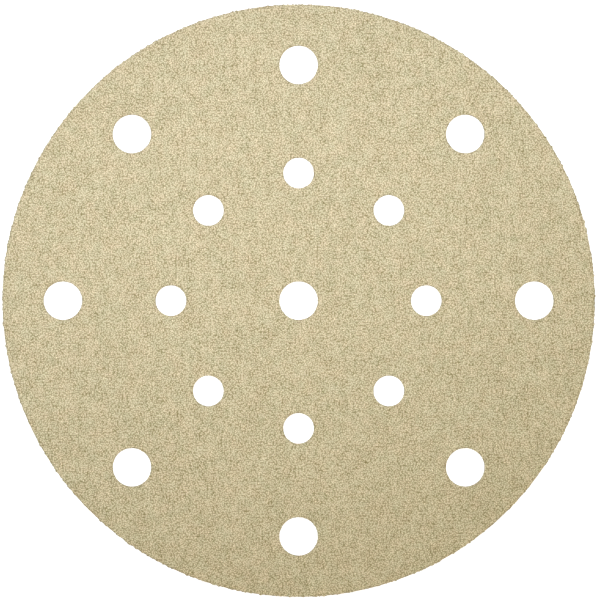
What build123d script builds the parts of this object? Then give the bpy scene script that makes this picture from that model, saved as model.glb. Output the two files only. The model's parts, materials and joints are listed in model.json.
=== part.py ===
from build123d import *
import os

# A hook and loop sanding disc for a round orbital sander, punched for dust
# extraction. It is a laminate of three layers, each punched by the same die:
# a knitted loop fabric that grips the sander's hooked pad, a stiff backing
# paper, and the coat of abrasive grit bonded to that paper.
#
# Sizes are in millimetres. The origin is the centre of the disc on the pad's
# side, and +Z points through the disc to the grit. The disc lies on its loops.

# The outline, and the seventeen holes that line up with those of the pad
disc_diameter = 150.8
centre_hole_diameter = 9.8
outer_circle_diameter = 120.0
outer_hole_diameter = 9.8
inner_circle_diameter = 65.0
inner_hole_diameter = 7.8
holes_per_circle = 8

# The three layers
loop_fabric_thickness = 0.65
paper_backing_thickness = 0.30
sanding_grit_thickness = 0.25

# What the outline loses on each side: the outermost loops lean back from the
# edge, and a little grit crumbles from it
loop_edge_bevel = 0.25
grit_edge_bevel = 0.10

# Where each layer starts
paper_backing_base = loop_fabric_thickness
sanding_grit_base = paper_backing_base + paper_backing_thickness

# The die that punches every layer: the outline with its holes
with BuildSketch() as die:
    Circle(disc_diameter / 2)
    Circle(centre_hole_diameter / 2, mode=Mode.SUBTRACT)
    with PolarLocations(outer_circle_diameter / 2, holes_per_circle):
        Circle(outer_hole_diameter / 2, mode=Mode.SUBTRACT)
    with PolarLocations(inner_circle_diameter / 2, holes_per_circle):
        Circle(inner_hole_diameter / 2, mode=Mode.SUBTRACT)

# Loop fabric: the punched knit, bevelled at the outline on the pad's side
with BuildPart() as loop_fabric:
    with BuildSketch(Plane.XY):
        add(die.sketch)
    extrude(amount=loop_fabric_thickness)
    pad_side_edges = loop_fabric.edges().filter_by(GeomType.CIRCLE).group_by(Axis.Z)[0]
    chamfer(pad_side_edges.sort_by(SortBy.RADIUS)[-1], loop_edge_bevel)
loop_fabric.part.label = "loop_fabric"

# Paper backing: the plain punched sheet that carries both other layers
with BuildPart() as paper_backing:
    with BuildSketch(Plane.XY.offset(paper_backing_base)):
        add(die.sketch)
    extrude(amount=paper_backing_thickness)
paper_backing.part.label = "paper_backing"

# Sanding grit: the abrasive grain in its resin, as one even layer, bevelled at
# the outline on the working side
with BuildPart() as sanding_grit:
    with BuildSketch(Plane.XY.offset(sanding_grit_base)):
        add(die.sketch)
    extrude(amount=sanding_grit_thickness)
    working_edges = sanding_grit.edges().filter_by(GeomType.CIRCLE).group_by(Axis.Z)[-1]
    chamfer(working_edges.sort_by(SortBy.RADIUS)[-1], grit_edge_bevel)
sanding_grit.part.label = "sanding_grit"

os.makedirs("parts", exist_ok=True)
for layer in (loop_fabric, paper_backing, sanding_grit):
    export_step(layer.part, f"parts/{layer.part.label}.step")
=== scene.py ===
import json
import math

import bpy
import numpy as np
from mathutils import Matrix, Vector
from mathutils.geometry import delaunay_2d_cdt


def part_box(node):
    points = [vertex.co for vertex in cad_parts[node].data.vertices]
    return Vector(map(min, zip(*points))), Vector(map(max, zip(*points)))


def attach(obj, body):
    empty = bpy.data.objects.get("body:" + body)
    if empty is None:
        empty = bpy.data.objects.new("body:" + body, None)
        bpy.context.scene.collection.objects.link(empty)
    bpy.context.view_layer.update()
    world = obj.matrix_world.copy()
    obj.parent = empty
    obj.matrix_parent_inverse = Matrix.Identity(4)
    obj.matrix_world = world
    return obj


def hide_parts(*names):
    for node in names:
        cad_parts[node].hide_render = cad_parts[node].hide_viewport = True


# A hook and loop sanding disc, lying on its loops with the grain side up. The
# grain, the knitted ground and the loops are made here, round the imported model.
# Lengths are in metres, angles in radians, and +Z points from the loops to the
# grain. A pair such as GRAIN_WIDTHS holds the least and the most that the size of
# one grain or one loop can be, as shares of the usual size.

MM = 0.001

# The photograph: its size, what one pixel of it covers, and where the middle of
# the disc lies in it, counted in pixels from the corner at the top left
PHOTO_WIDTH = 599
PHOTO_HEIGHT = 600
PIXEL_SIZE = 0.2545 * MM
DISC_MIDDLE_X = 298.6
DISC_MIDDLE_Y = 300.65

# The lens stands far off, as in the photograph, which shows no walls of holes
SENSOR_WIDTH = 36 * MM
FOCAL_LENGTH = 250 * MM
CLIP_FACTOR = 100

# Points in staggered rows make even triangles if the rows stand this share of
# their step apart. They keep a share of their step clear of a rim, whose own
# points fray by at most so many times the usual
ROW_SHARE = math.sqrt(0.75)
RIM_ROOM_SHARE = 0.45
FRAY_LIMIT = 2

# The coat of grain: the resin between the grains is a fine uneven field
GRIT_SEED = 11
RESIN_STEP = 0.475 * MM
RESIN_RIM_STEP = 0.85 * RESIN_STEP
RESIN_SCATTER = 0.3
RESIN_RELIEF = 0.07 * MM
RESIN_TOP_DEPTH = 0.08 * MM
RIM_CRUMBLE = 0.03 * MM
OUTLINE_FRAY = 0.13 * MM
HOLE_FRAY = 0.045 * MM

# The larger grains, which stand out of it. The lowest lie deeper than the
# highest by a share of the usual height. Each is a crystal with corners round its
# waist, a tip and a root. The corners are turned at random and bent up or down by
# shares of its height, and its tip and root are shifted by shares of its width
GRAIN_STEP = 0.92 * MM
GRAIN_SCATTER = 0.42
GRAIN_EDGE_ROOM = 0.12 * MM
GRAIN_WIDTH = 0.30 * MM
GRAIN_WIDTHS = (0.65, 1.2)
GRAIN_HEIGHT = 0.20 * MM
GRAIN_HEIGHTS = (0.6, 1.0)
GRAIN_DEEPEST = 0.25
WAIST_CORNERS = 4
WAIST_REACHES = (0.6, 1.15)
WAIST_TURN = 0.5
WAIST_BEND = 0.3
TIP_SHIFT = 0.35
ROOT_SHIFT = 0.2

# The loop fabric: a knitted ground, whose relief comes for a share from its
# wales and for a share from its courses
FABRIC_SEED = 23
WALE_PITCH = 1.15 * MM
COURSE_PITCH = 0.78 * MM
KNIT_RELIEF = 0.09 * MM
WALE_SHARE = 0.5
COURSE_SHARE = 0.15
GROUND_DEPTH = 0.33 * MM
GROUND_STEP_ACROSS = 0.29 * MM
GROUND_STEP_ALONG = 0.95 * MM
GROUND_RIM_STEP = 0.4 * MM
GROUND_SCATTER = 0.1
GROUND_FRAY = 0.02 * MM

# The loops, one for each course of each wale. Their scatter, turn and lean to one
# side are usual amounts. A loop leans by at most so many times the usual, and then
# loses a share of its reach
LOOP_SCATTER = 0.16
LOOP_TURN = 0.7
LOOP_SPAN = 1.10 * MM
LOOP_SPANS = (0.7, 1.25)
LOOP_REACH = 0.37 * MM
LOOP_REACHES = (0.8, 1.0)
LOOP_LEAN = 0.42 * MM
LEAN_LIMIT = 1.4
LEAN_LOSS = 0.25
LOOP_EDGE_ROOM = 0.12 * MM
LOOP_SEGMENTS = 3
THREAD_SIDES = 3
THREAD_RADIUS = 0.08 * MM
THREAD_RADII = (0.8, 1.15)

# The map through which each heavy piece is baked: its name, the size of the
# corners that a layer's plain side and walls get, the shares that parts fill of
# their places, so that they keep clear of each other, and the length across a
# grain's place and the margin round it. Where faces share a place, the last wins
BAKE_MAP = "OFBake"
MAP_CORNER = 0.14
MAP_FINE_SHARE = 0.99
MAP_PLAIN_SHARE = 0.98
MAP_WALL_SHARE = 0.8
MAP_THREAD_SHARE = 0.85
MAP_GRAIN_WIDTH = 1.6 * GRAIN_WIDTH
MAP_GRAIN_EDGE = 0.05

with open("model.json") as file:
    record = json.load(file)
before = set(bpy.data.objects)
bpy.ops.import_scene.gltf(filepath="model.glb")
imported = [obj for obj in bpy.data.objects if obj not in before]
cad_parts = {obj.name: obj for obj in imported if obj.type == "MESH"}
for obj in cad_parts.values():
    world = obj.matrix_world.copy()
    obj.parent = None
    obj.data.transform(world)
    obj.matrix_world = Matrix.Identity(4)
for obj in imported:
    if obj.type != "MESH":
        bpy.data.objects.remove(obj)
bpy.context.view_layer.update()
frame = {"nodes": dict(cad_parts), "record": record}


def punched_holes(record):
    """The middle and the radius of each hole that the die punches, from the record's mounts."""
    holes = []
    for mount in record["mounts"]:
        sizes = mount["dims"]
        if mount["kind"] == "bore":
            holes.append((0.0, 0.0, sizes["r_mm"] * MM))
        elif mount["kind"] == "bolt_pattern":
            reach = sizes["pcd_mm"] * MM / 2
            for place in range(sizes["count"]):
                turn = 2 * math.pi * place / sizes["count"]
                holes.append((reach * math.cos(turn), reach * math.sin(turn), sizes["hole_r_mm"] * MM))
    return holes


fabric_low, fabric_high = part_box("loop_fabric")
grit_low, grit_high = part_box("sanding_grit")
disc_radius = fabric_high.x
holes = punched_holes(frame["record"])


# Meshes

def even_turns(count):
    """That many angles, which share one full turn evenly."""
    return np.arange(count) * 2 * math.pi / count


def clear_of_rims(points, room):
    """Which points lie inside the disc and outside its holes, with that much room to every rim."""
    clear = np.hypot(points[:, 0], points[:, 1]) < disc_radius - room
    for x, y, radius in holes:
        clear &= np.hypot(points[:, 0] - x, points[:, 1] - y) > radius + room
    return clear


def lattice(across, along, scatter, rng):
    """Points over the whole disc in staggered rows, each moved at random by up to a share of its step."""
    rows = np.arange(-disc_radius, disc_radius, along)
    columns = np.arange(-disc_radius, disc_radius, across)
    x, y = np.meshgrid(columns, rows)
    x = x + across / 2 * (np.arange(len(rows)) % 2)[:, None]
    points = np.stack([x.ravel(), y.ravel()], 1)
    return points + rng.uniform(-scatter, scatter, points.shape) * (across, along)


def punched_field(across, along, scatter, rim_step, outline_fray, hole_fray, rng):
    """Fills the punched outline with points and triangles.

    Returns the points, the triangles and the number of the rim that each point is on, which is 0
    for the outline, 1 and up for the holes, and -1 for a point between them."""
    inner = lattice(across, along, scatter, rng)
    inner = inner[clear_of_rims(inner, RIM_ROOM_SHARE * min(across, along) + outline_fray)]
    points = [inner]
    rim = [np.full(len(inner), -1)]
    edges = []
    for number, (x, y, radius) in enumerate([(0.0, 0.0, disc_radius)] + holes):
        count = round(2 * math.pi * radius / rim_step)
        turn = even_turns(count)
        fray = hole_fray if number else outline_fray
        reach = radius + rng.normal(0, fray, count).clip(-FRAY_LIMIT * fray, FRAY_LIMIT * fray)
        ring = sum(map(len, points)) + np.arange(count)
        points.append(np.stack([x + reach * np.cos(turn), y + reach * np.sin(turn)], 1))
        rim.append(np.full(count, number))
        edges.append(np.stack([ring, np.roll(ring, -1)], 1))
    points = np.concatenate(points)
    rim = np.concatenate(rim)
    return points, triangles_inside(points, rim, np.concatenate(edges)), rim


def triangles_inside(points, rim, edges):
    """Triangles between the points, up to the rims and not across the holes.

    A triangle with its three corners on one rim is inside that ring only if it runs the way that the
    ring is numbered."""
    # In millimetres, over the whole hull, with points nearer than this taken as one
    scale = 1 / MM
    whole_hull = 0
    nearest = 1e-7
    made = delaunay_2d_cdt((points * scale).tolist(), edges.tolist(), [], whole_hull, nearest, False)
    a, b, c = np.array([list(face) for face in made[2]]).T
    same = (rim[a] >= 0) & (rim[a] == rim[b]) & (rim[b] == rim[c])
    inside_ring = ((a < b).astype(int) + (b < c) + (c < a)) == 2
    gone = same & (inside_ring != (rim[a] == 0))
    return np.stack([a, b, c], 1)[~gone]


def squares(count, corner=(0.0, 0.0), width=1.0):
    """The corners of that many small squares in a square part of the bake map, and their width."""
    side = math.ceil(math.sqrt(count))
    step = width / side
    place = np.arange(count)
    return np.array(corner) + np.stack([place % side, place // side], 1) * step, step


def mesh_object(name, vertices, faces, face_uvs, material, smooth):
    """A mesh piece that rides on the disc, with its own bake map."""
    mesh = bpy.data.meshes.new(name)
    mesh.from_pydata(vertices.tolist(), [], faces)
    mesh.uv_layers.new(name=BAKE_MAP).data.foreach_set("uv", face_uvs.astype(np.float32).ravel())
    mesh.polygons.foreach_set("use_smooth", np.full(len(mesh.polygons), smooth))
    mesh.materials.append(material)
    mesh.update()
    piece = bpy.data.objects.new(name, mesh)
    bpy.context.scene.collection.objects.link(piece)
    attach(piece, "root")
    return piece


def punched_layer(name, field, fine_z, plain_z, material):
    """One closed layer of the disc: a side with relief, the cut walls, and a plain side that is glued."""
    points, triangles, rim = field
    count = len(points)
    upward = fine_z.mean() > plain_z

    # The walls stand on the edges that only one triangle uses
    ends = np.concatenate([triangles[:, [0, 1]], triangles[:, [1, 2]], triangles[:, [2, 0]]])
    forward = ends[:, 0] * count + ends[:, 1]
    backward = ends[:, 1] * count + ends[:, 0]
    cut = ends[~np.isin(forward, backward)]
    rim_points = np.unique(cut)
    glued = np.full(count, -1)
    glued[rim_points] = count + np.arange(len(rim_points))
    walls = np.stack([cut[:, 1], cut[:, 0], glued[cut[:, 0]], glued[cut[:, 1]]], 1)

    # The plain side needs no points between its rims
    plain = triangles_inside(points[rim_points], rim[rim_points], np.searchsorted(rim_points, cut))
    vertices = np.concatenate([
        np.column_stack([points, fine_z]),
        np.column_stack([points[rim_points], np.full(len(rim_points), plain_z)]),
    ])
    faces = [triangles, walls, glued[rim_points[plain]][:, ::-1]]
    if not upward:
        faces = [part[:, ::-1] for part in faces]

    # The side with relief fills the map, and the rest goes into the corners round the disc
    flat = vertices[:, :2] / (2 * disc_radius)
    fine_uv = 0.5 + flat[faces[0]] * MAP_FINE_SHARE
    plain_uv = MAP_CORNER / 2 + flat[faces[2]] * MAP_CORNER * MAP_PLAIN_SHARE
    places, step = squares(len(walls), corner=(1 - MAP_CORNER, 0.0), width=MAP_CORNER)
    wall_uv = places[:, None] + np.array([(0, 0), (1, 0), (1, 1), (0, 1)]) * MAP_WALL_SHARE * step
    uvs = np.concatenate([part.reshape(-1, 2) for part in (fine_uv, wall_uv, plain_uv)])
    face_list = [face for part in faces for face in part.tolist()]
    return mesh_object(name, vertices, face_list, uvs, material, smooth=True)


def standing_grains(name, material, rng):
    """The larger grains: irregular crystals with eight facets, half sunk in the resin."""
    middle = lattice(GRAIN_STEP, GRAIN_STEP * ROW_SHARE, GRAIN_SCATTER, rng)
    middle = middle[clear_of_rims(middle, GRAIN_EDGE_ROOM + GRAIN_WIDTH / 2)]
    count = len(middle)
    width = GRAIN_WIDTH * rng.uniform(*GRAIN_WIDTHS, count)
    height = GRAIN_HEIGHT * rng.uniform(*GRAIN_HEIGHTS, count)

    # The points of each crystal: the corners of its waist, its tip and its root
    corners = (count, WAIST_CORNERS)
    turn = rng.uniform(0, 2 * math.pi, count)[:, None] + even_turns(WAIST_CORNERS)
    turn = turn + rng.uniform(-WAIST_TURN, WAIST_TURN, corners)
    reach = width[:, None] / 2 * rng.uniform(*WAIST_REACHES, corners)
    rise = rng.uniform(-WAIST_BEND, WAIST_BEND, corners) * height[:, None]
    waist = np.stack([reach * np.cos(turn), reach * np.sin(turn), rise], 2)
    tip = np.stack([*(rng.uniform(-TIP_SHIFT, TIP_SHIFT, (2, count)) * width), height / 2], 1)
    root = np.stack([*(rng.uniform(-ROOT_SHIFT, ROOT_SHIFT, (2, count)) * width), -height / 2], 1)
    crystals = np.concatenate([waist, tip[:, None], root[:, None]], 1)
    top = grit_high.z - rng.uniform(0, math.sqrt(GRAIN_DEEPEST), count) ** 2 * GRAIN_HEIGHT
    base = np.column_stack([middle, top - height / 2])
    vertices = (crystals + base[:, None]).reshape(-1, 3)

    # Two facets share each place on the bake map, so those that the resin hides
    # come first
    tip_number = WAIST_CORNERS
    root_number = WAIST_CORNERS + 1
    sides = [(corner, (corner + 1) % WAIST_CORNERS) for corner in range(WAIST_CORNERS)]
    hidden = [(after, corner, root_number) for corner, after in sides]
    shown = [(corner, after, tip_number) for corner, after in sides]
    first = (root_number + 1) * np.arange(count)
    faces = (np.array(hidden + shown) + first[:, None, None]).reshape(-1, 3)
    places, step = squares(count)
    flat = (crystals[:, :, :2] / MAP_GRAIN_WIDTH + 0.5).clip(MAP_GRAIN_EDGE, 1 - MAP_GRAIN_EDGE)
    uvs = (places[:, None] + flat * step).reshape(-1, 2)[faces].reshape(-1, 2)
    return mesh_object(name, vertices, faces.tolist(), uvs, material, smooth=False)


def arches(parity, rng):
    """The middle line of each loop of every second wale, and the direction in which it leans.

    A line runs from one foot in the ground to the other. A loop that a rim would cut is left out."""
    wales = np.arange(-disc_radius, disc_radius, 2 * WALE_PITCH) + parity * WALE_PITCH
    courses = np.arange(-disc_radius, disc_radius, COURSE_PITCH)
    x, y = np.meshgrid(wales, courses)
    y = y + COURSE_PITCH / 2 * (np.arange(len(wales)) % 2)
    root = np.stack([x.ravel(), y.ravel()], 1)
    root = root + rng.normal(0, LOOP_SCATTER, root.shape) * (WALE_PITCH, COURSE_PITCH)
    count = len(root)

    turn = rng.normal(math.pi / 2, LOOP_TURN, count)
    heading = np.stack([np.cos(turn), np.sin(turn)], 1)
    sideways = np.stack([-heading[:, 1], heading[:, 0]], 1)
    span = LOOP_SPAN * rng.uniform(*LOOP_SPANS, count)
    lean = LOOP_LEAN * rng.normal(0, 1, count).clip(-LEAN_LIMIT, LEAN_LIMIT)
    reach = LOOP_REACH * rng.uniform(*LOOP_REACHES, count)
    reach = reach * (1 - LEAN_LOSS * np.abs(lean) / LOOP_LEAN / LEAN_LIMIT)

    share = np.linspace(0, 1, LOOP_SEGMENTS + 1)
    along = -np.cos(math.pi * share)[None] * span[:, None] / 2
    rise = np.sin(math.pi * share)[None]
    aside = rise * lean[:, None]
    flat = root[:, None] + heading[:, None] * along[..., None] + sideways[:, None] * aside[..., None]
    feet_z = fabric_low.z + GROUND_DEPTH + THREAD_RADIUS / 2
    line = np.concatenate([flat, (feet_z - rise * reach[:, None])[..., None]], 2)
    whole = clear_of_rims(flat.reshape(-1, 2), LOOP_EDGE_ROOM).reshape(count, -1).all(axis=1)
    return line[whole], sideways[whole]


def thread_sides():
    """The faces along one loop, and the place of their corners along the thread and round it."""
    faces = []
    corners = []
    for ring in range(LOOP_SEGMENTS):
        for part in range(THREAD_SIDES):
            after = (part + 1) % THREAD_SIDES
            low = ring * THREAD_SIDES
            high = low + THREAD_SIDES
            faces.append((low + part, low + after, high + after, high + part))
            corners.append([(ring, part), (ring, part + 1), (ring + 1, part + 1), (ring + 1, part)])
    return np.array(faces), np.array(corners)


def loop_rows(name, parity, material, rng):
    """The loops of every second wale: small arches of thread that hang from the ground."""
    line, sideways = arches(parity, rng)
    count = len(line)

    # A thread of a few sides round each line, which stays above the table
    way = np.gradient(line, axis=1)
    way /= np.linalg.norm(way, axis=2, keepdims=True)
    side = np.cross(way, np.concatenate([sideways, np.zeros((count, 1))], 1)[:, None])
    side /= np.linalg.norm(side, axis=2, keepdims=True)
    other = np.cross(way, side)
    around = even_turns(THREAD_SIDES)[:, None]
    section = side[:, :, None] * np.cos(around) + other[:, :, None] * np.sin(around)
    thick = THREAD_RADIUS * rng.uniform(*THREAD_RADII, count)[:, None, None, None]
    rings = line[:, :, None] + section * thick
    rings[..., 2] = np.maximum(rings[..., 2], fabric_low.z)

    # The ends share their places on the bake map with the sides of their thread,
    # so they come first, because the ground hides them
    side_faces, corners = thread_sides()
    per_loop = (LOOP_SEGMENTS + 1) * THREAD_SIDES
    first = per_loop * np.arange(count)
    first_ends = np.arange(THREAD_SIDES)[::-1] + first[:, None]
    last_ends = np.arange(per_loop - THREAD_SIDES, per_loop) + first[:, None]
    sides = (side_faces + first[:, None, None]).reshape(-1, 4)
    faces = first_ends.tolist() + last_ends.tolist() + sides.tolist()
    places, step = squares(count)
    side_uv = corners / (LOOP_SEGMENTS, THREAD_SIDES) * MAP_THREAD_SHARE * step
    end_uv = np.array([(0, 0), (1, 0), (0, 1)]) * MAP_THREAD_SHARE * step
    ends = (places[:, None] + end_uv).reshape(-1, 2)
    uvs = np.concatenate([ends, ends, (places[:, None, None] + side_uv).reshape(-1, 2)])
    return mesh_object(name, rings.reshape(-1, 3), faces, uvs, material, smooth=True)


# Materials

# A noise texture seldom leaves this range
NOISE_LOW = 0.3
NOISE_HIGH = 0.7

# What a wave texture repeats after, at a scale of 1
WAVE_PERIOD = math.pi / 10


def add_node(tree, kind, inputs=None, **settings):
    """Adds a node. Each input is set to its value, or linked where the value is another node's output."""
    node = tree.nodes.new(kind)
    for key, value in settings.items():
        setattr(node, key, value)
    for key, value in (inputs or {}).items():
        if isinstance(value, bpy.types.NodeSocket):
            tree.links.new(value, node.inputs[key])
        else:
            node.inputs[key].default_value = value
    return node


def new_material(name):
    """A node material, its tree, its surface shader and the coordinates that its patterns follow."""
    material = bpy.data.materials.new(name)
    material.use_nodes = True
    tree = material.node_tree
    place = add_node(tree, "ShaderNodeTexCoord").outputs["Object"]
    return material, tree, tree.nodes["Principled BSDF"], place


def cells(tree, place, width, dimensions="3D"):
    """A pattern of irregular cells of about that width."""
    inputs = {"Vector": place, "Scale": 1 / width}
    return add_node(tree, "ShaderNodeTexVoronoi", inputs, voronoi_dimensions=dimensions)


def cell_tone(tree, pattern):
    """One random number between 0 and 1 for each cell of the pattern."""
    return add_node(tree, "ShaderNodeSeparateColor", {"Color": pattern.outputs["Color"]}).outputs["Red"]


def unevenness(tree, place, width, low, high, squeeze=(1, 1, 1), detail=2.0):
    """A soft random factor between about low and high.

    Its patches are of about that width, divided by the squeeze along each axis."""
    placed = add_node(tree, "ShaderNodeMapping", {"Vector": place, "Scale": squeeze}).outputs["Vector"]
    noise = add_node(tree, "ShaderNodeTexNoise", {"Vector": placed, "Scale": 1 / width, "Detail": detail})
    limits = {"From Min": NOISE_LOW, "From Max": NOISE_HIGH, "To Min": low, "To Max": high}
    return add_node(tree, "ShaderNodeMapRange", {"Value": noise.outputs["Fac"], **limits}).outputs["Result"]


def varied(tree, level, tone, share):
    """The level, raised or lowered by up to half that share where the tone is 1 or 0."""
    centred = add_node(tree, "ShaderNodeMath", {0: tone, 1: 0.5}, operation="SUBTRACT").outputs[0]
    moved = add_node(tree, "ShaderNodeMath", {0: centred, 1: share, 2: level}, operation="MULTIPLY_ADD")
    return moved.outputs[0]


def ramp(tree, value, stops):
    """A colour ramp with those (place, colour) stops."""
    node = add_node(tree, "ShaderNodeValToRGB", {"Fac": value})
    elements = node.color_ramp.elements
    while len(elements) < len(stops):
        elements.new(0.5)
    for element, (place, colour) in zip(elements, stops):
        element.position = place
        element.color = (*colour, 1)
    return node.outputs["Color"]


def times(tree, colour, factor):
    """The colour multiplied by a factor, which is a grey level or a colour itself."""
    product = add_node(tree, "ShaderNodeVectorMath", {0: colour, 1: factor}, operation="MULTIPLY")
    return product.outputs["Vector"]


def emboss(tree, surface, height, strength, depth):
    """Lets the light fall on the surface as if it had that height."""
    bump = add_node(tree, "ShaderNodeBump", {"Height": height, "Strength": strength, "Distance": depth})
    tree.links.new(bump.outputs["Normal"], surface.inputs["Normal"])


def grit_material():
    """Sand-coloured grain in resin: each grain is pale in its middle and darker towards its edge, partly
    from the darker resin round it and partly as painted shade in the gaps between grains.
    """
    material, tree, surface, place = new_material("sanding_grit_coat")
    grains = cells(tree, place, width=0.40 * MM, dimensions="2D")
    # Each grain's colour runs from pale in its middle to dark at the gaps round it: partly darker resin,
    # partly painted shade in those gaps. The same profile is the grain's height for the bump
    away = {0: 1.0, 1: grains.outputs["Distance"]}
    near = add_node(tree, "ShaderNodeMath", away, operation="SUBTRACT", use_clamp=True).outputs[0]
    steepness = 2.6
    peak = add_node(tree, "ShaderNodeMath", {0: near, 1: steepness}, operation="POWER").outputs[0]
    limits = {"To Min": 0.25, "To Max": 1.11}
    level = add_node(tree, "ShaderNodeMapRange", {"Value": peak, **limits}).outputs["Result"]

    # The tone differs between grains, between the specks in them and over the disc
    specks = cells(tree, place, width=0.14 * MM)
    patches = unevenness(tree, place, width=1.7 * MM, low=0.0, high=1.0, squeeze=(1, 0.6, 1), detail=1.0)
    level = varied(tree, level, cell_tone(tree, grains), share=0.15)
    level = varied(tree, level, cell_tone(tree, specks), share=0.12)
    level = varied(tree, level, patches, share=0.12)
    colour = ramp(tree, level, [(0.0, (0.135, 0.100, 0.010)), (1.0, (0.84, 0.742, 0.514))])
    drift = unevenness(tree, place, width=3.0 * MM, low=0.0, high=1.0)
    tint = ramp(tree, drift, [(0.0, (0.976, 1.008, 1.008)), (1.0, (1.024, 0.992, 0.992))])
    tree.links.new(times(tree, colour, tint), surface.inputs["Base Color"])
    emboss(tree, surface, peak, strength=0.5, depth=0.08 * MM)
    surface.inputs["Roughness"].default_value = 0.72
    surface.inputs["Specular IOR Level"].default_value = 0.1
    return material


def grain_material():
    """Single crystals, most of them paler than the resin and a few dark."""
    material, tree, surface, place = new_material("standing_grain")
    tone = cell_tone(tree, cells(tree, place, width=0.55 * MM))
    colour = ramp(tree, tone, [
        (0.0, (0.30, 0.250, 0.125)),
        (0.15, (0.56, 0.490, 0.315)),
        (0.50, (0.78, 0.692, 0.474)),
        (1.0, (0.95, 0.860, 0.630)),
    ])
    flecks = unevenness(tree, place, width=0.12 * MM, low=0.92, high=1.08)
    tree.links.new(times(tree, colour, flecks), surface.inputs["Base Color"])
    surface.inputs["Roughness"].default_value = 0.5
    surface.inputs["Specular IOR Level"].default_value = 0.4
    return material


def paper_material():
    """Buff abrasive paper, with fibres that show at the punched edges."""
    material, tree, surface, place = new_material("buff_paper")
    fibres = unevenness(tree, place, width=0.25 * MM, low=0.0, high=1.0, squeeze=(1, 1, 4), detail=4.0)
    colour = ramp(tree, fibres, [
        (0.0, (0.42, 0.335, 0.21)),
        (0.5, (0.56, 0.465, 0.31)),
        (1.0, (0.70, 0.61, 0.44)),
    ])
    tree.links.new(colour, surface.inputs["Base Color"])
    emboss(tree, surface, fibres, strength=0.4, depth=0.03 * MM)
    surface.inputs["Roughness"].default_value = 0.9
    return material


def knit_material():
    """The knitted ground: off-white yarn, with a band for each course."""
    material, tree, surface, place = new_material("knitted_ground")
    inputs = {"Vector": place, "Scale": WAVE_PERIOD / COURSE_PITCH, "Distortion": 1.5, "Detail": 1.0}
    stitches = add_node(tree, "ShaderNodeTexWave", inputs, bands_direction="Y").outputs["Fac"]
    colour = ramp(tree, stitches, [(0.0, (0.56, 0.55, 0.50)), (1.0, (0.78, 0.77, 0.72))])
    shade = unevenness(tree, place, width=0.3 * MM, low=0.86, high=1.06)
    tree.links.new(times(tree, colour, shade), surface.inputs["Base Color"])
    emboss(tree, surface, stitches, strength=0.7, depth=0.08 * MM)
    surface.inputs["Roughness"].default_value = 0.85
    surface.inputs["Sheen Weight"].default_value = 0.25
    return material


def yarn_material():
    """The loops: bright nylon yarn of fine filaments."""
    material, tree, surface, place = new_material("nylon_loops")
    tone = cell_tone(tree, cells(tree, place, width=0.9 * MM))
    colour = ramp(tree, tone, [
        (0.0, (0.72, 0.71, 0.65)),
        (0.6, (0.82, 0.81, 0.76)),
        (1.0, (0.88, 0.87, 0.83)),
    ])
    filaments = unevenness(tree, place, width=0.06 * MM, low=0.88, high=1.06)
    tree.links.new(times(tree, colour, filaments), surface.inputs["Base Color"])
    surface.inputs["Roughness"].default_value = 0.6
    surface.inputs["Sheen Weight"].default_value = 0.3
    return material


# The pieces

def make_grit():
    """The grain side: one uneven coat of resin and fine grain, and the larger grains on it."""
    rng = np.random.default_rng(GRIT_SEED)
    field = punched_field(
        across=RESIN_STEP,
        along=RESIN_STEP * ROW_SHARE,
        scatter=RESIN_SCATTER,
        rim_step=RESIN_RIM_STEP,
        outline_fray=OUTLINE_FRAY,
        hole_fray=HOLE_FRAY,
        rng=rng,
    )
    points, _, rim = field
    height = grit_high.z - RESIN_TOP_DEPTH - RESIN_RELIEF * rng.uniform(0, 1, len(points))
    height[rim >= 0] -= RIM_CRUMBLE
    coat = punched_layer("grain_coat", field, height, grit_low.z, grit_material())
    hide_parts("sanding_grit")
    grains = standing_grains("standing_grains", grain_material(), rng)
    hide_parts("sanding_grit")


def make_fabric():
    """The loop side: the knitted ground, which is glued to the paper, and the loops under it."""
    rng = np.random.default_rng(FABRIC_SEED)
    field = punched_field(
        across=GROUND_STEP_ACROSS,
        along=GROUND_STEP_ALONG,
        scatter=GROUND_SCATTER,
        rim_step=GROUND_RIM_STEP,
        outline_fray=GROUND_FRAY,
        hole_fray=GROUND_FRAY,
        rng=rng,
    )
    points, _, rim = field
    wale = np.cos(2 * math.pi * points[:, 0] / WALE_PITCH)
    course = np.cos(2 * math.pi * points[:, 1] / COURSE_PITCH)
    height = fabric_low.z + GROUND_DEPTH - KNIT_RELIEF * (WALE_SHARE * wale + COURSE_SHARE * course)
    height[rim >= 0] = fabric_low.z + GROUND_DEPTH
    ground = punched_layer("knitted_ground", field, height, fabric_high.z, knit_material())
    yarn = yarn_material()
    loops = [
        loop_rows("loops_of_even_wales", 0, yarn, rng),
        loop_rows("loops_of_odd_wales", 1, yarn, rng),
    ]
    for piece in [ground] + loops:
        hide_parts("loop_fabric")


def dress_paper():
    """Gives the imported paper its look."""
    paper = frame["nodes"]["paper_backing"]
    material = paper_material()
    if paper.material_slots:
        for place in paper.material_slots:
            place.material = material
    else:
        paper.data.materials.append(material)


make_grit()
make_fabric()
dress_paper()


# The stage

# The table is nearly as bright by itself as white can be, so that only the
# faintest shadow shows, as in the photograph. From below it isn't seen.
FLOOR_HALF_WIDTH = 10.0
FLOOR_GLOW = 0.88
FLOOR_ALBEDO = 0.35


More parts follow.
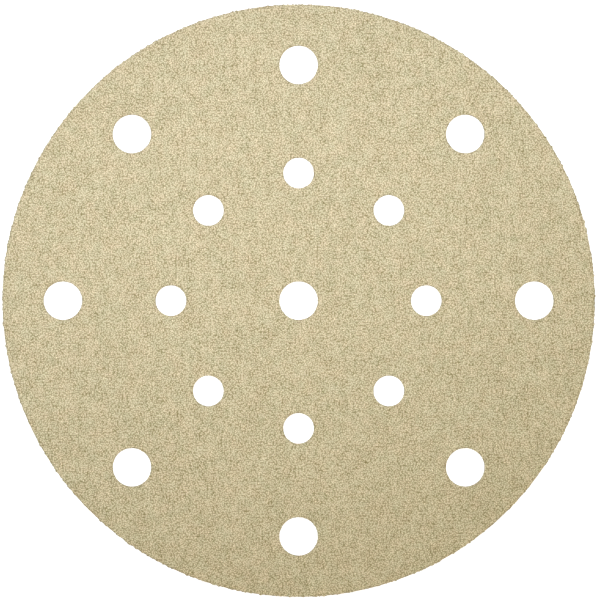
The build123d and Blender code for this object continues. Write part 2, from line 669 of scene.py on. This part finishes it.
def make_floor():
    """A white table under the loops. It shows the disc's shadow, but sends the disc no light."""
    reach = FLOOR_HALF_WIDTH
    corners = [(x * reach, y * reach, fabric_low.z) for x, y in ((-1, -1), (1, -1), (1, 1), (-1, 1))]
    mesh = bpy.data.meshes.new("floor")
    mesh.from_pydata(corners, [], [(0, 1, 2, 3)])
    floor = bpy.data.objects.new("floor", mesh)
    bpy.context.scene.collection.objects.link(floor)
    floor.visible_diffuse = False
    floor.visible_glossy = False
    floor.visible_shadow = False
    material = bpy.data.materials.new("white_table")
    material.use_nodes = True
    tree = material.node_tree
    tree.nodes.clear()
    matt = add_node(tree, "ShaderNodeBsdfDiffuse", {"Color": (FLOOR_ALBEDO, FLOOR_ALBEDO, FLOOR_ALBEDO, 1)})
    glow = add_node(tree, "ShaderNodeEmission", {"Color": (1, 1, 1, 1), "Strength": FLOOR_GLOW})
    both = add_node(tree, "ShaderNodeAddShader", {0: matt.outputs[0], 1: glow.outputs[0]})
    behind = add_node(tree, "ShaderNodeNewGeometry").outputs["Backfacing"]
    clear = add_node(tree, "ShaderNodeBsdfTransparent")
    shown = add_node(tree, "ShaderNodeMixShader", {0: behind, 1: both.outputs[0], 2: clear.outputs[0]})
    add_node(tree, "ShaderNodeOutputMaterial", {"Surface": shown.outputs[0]})
    mesh.materials.append(material)


def make_light(name, place, aim, width, depth, power, colour, spread):
    """A rectangular lamp that faces the point aim and spreads its light over that angle."""
    lamp = bpy.data.lights.new(name, "AREA")
    lamp.shape = "RECTANGLE"
    lamp.size = width
    lamp.size_y = depth
    lamp.spread = spread
    lamp.energy = power
    lamp.color = colour
    holder = bpy.data.objects.new(name, lamp)
    holder.location = place
    holder.rotation_euler = (Vector(aim) - Vector(place)).to_track_quat("-Z", "Y").to_euler()
    bpy.context.scene.collection.objects.link(holder)


def make_world(strength, colour):
    """Surroundings that look white, and light the disc with that strength and colour."""
    world = bpy.data.worlds.new("surroundings")
    world.use_nodes = True
    tree = world.node_tree
    tree.nodes.clear()
    dim = add_node(tree, "ShaderNodeBackground", {"Color": (*colour, 1), "Strength": strength})
    seen = add_node(tree, "ShaderNodeBackground", {"Color": (1, 1, 1, 1), "Strength": 1.0})
    path = add_node(tree, "ShaderNodeLightPath").outputs["Is Camera Ray"]
    both = add_node(tree, "ShaderNodeMixShader", {0: path, 1: dim.outputs[0], 2: seen.outputs[0]})
    add_node(tree, "ShaderNodeOutputWorld", {"Surface": both.outputs[0]})
    bpy.context.scene.world = world


def make_camera():
    """A long lens square above the disc, which shows it at the photograph's scale and place."""
    camera = bpy.data.objects.new("camera", bpy.data.cameras.new("camera"))
    camera.data.sensor_width = SENSOR_WIDTH / MM
    camera.data.lens = FOCAL_LENGTH / MM
    # The sensor's width is the long side's
    long_side = max(PHOTO_WIDTH, PHOTO_HEIGHT)
    distance = FOCAL_LENGTH / SENSOR_WIDTH * long_side * PIXEL_SIZE
    off_x = (PHOTO_WIDTH / 2 - DISC_MIDDLE_X) * PIXEL_SIZE
    off_y = (DISC_MIDDLE_Y - PHOTO_HEIGHT / 2) * PIXEL_SIZE
    camera.location = (off_x, off_y, grit_high.z + distance)
    camera.data.clip_start = distance / CLIP_FACTOR
    camera.data.clip_end = distance * CLIP_FACTOR
    bpy.context.scene.collection.objects.link(camera)
    bpy.context.scene.camera = camera


make_floor()

# The key light fades towards the bottom of the picture, from where the yellowish
# fill comes. The lamp below the table lights the loops
make_light(
    "key",
    place=(-0.040, 0.131, 0.70),
    aim=(-0.022, 0.044, 0),
    width=0.45,
    depth=0.10,
    power=0.460,
    colour=(0.956, 1.0, 1.137),
    spread=math.radians(42),
)
make_light(
    "fill",
    place=(0.12, -0.30, 0.30),
    aim=(0, 0, 0),
    width=0.3,
    depth=0.3,
    power=0.466,
    colour=(1.0, 0.83, 0.42),
    spread=math.radians(180),
)
make_light(
    "from_below",
    place=(0.25, -0.30, -0.55),
    aim=(0, 0, 0),
    width=0.5,
    depth=0.5,
    power=6.0,
    colour=(1.0, 1.0, 1.0),
    spread=math.radians(180),
)
make_world(strength=0.167, colour=(1.0, 0.9, 0.5))
make_camera()
bpy.context.scene.view_settings.view_transform = "Standard"
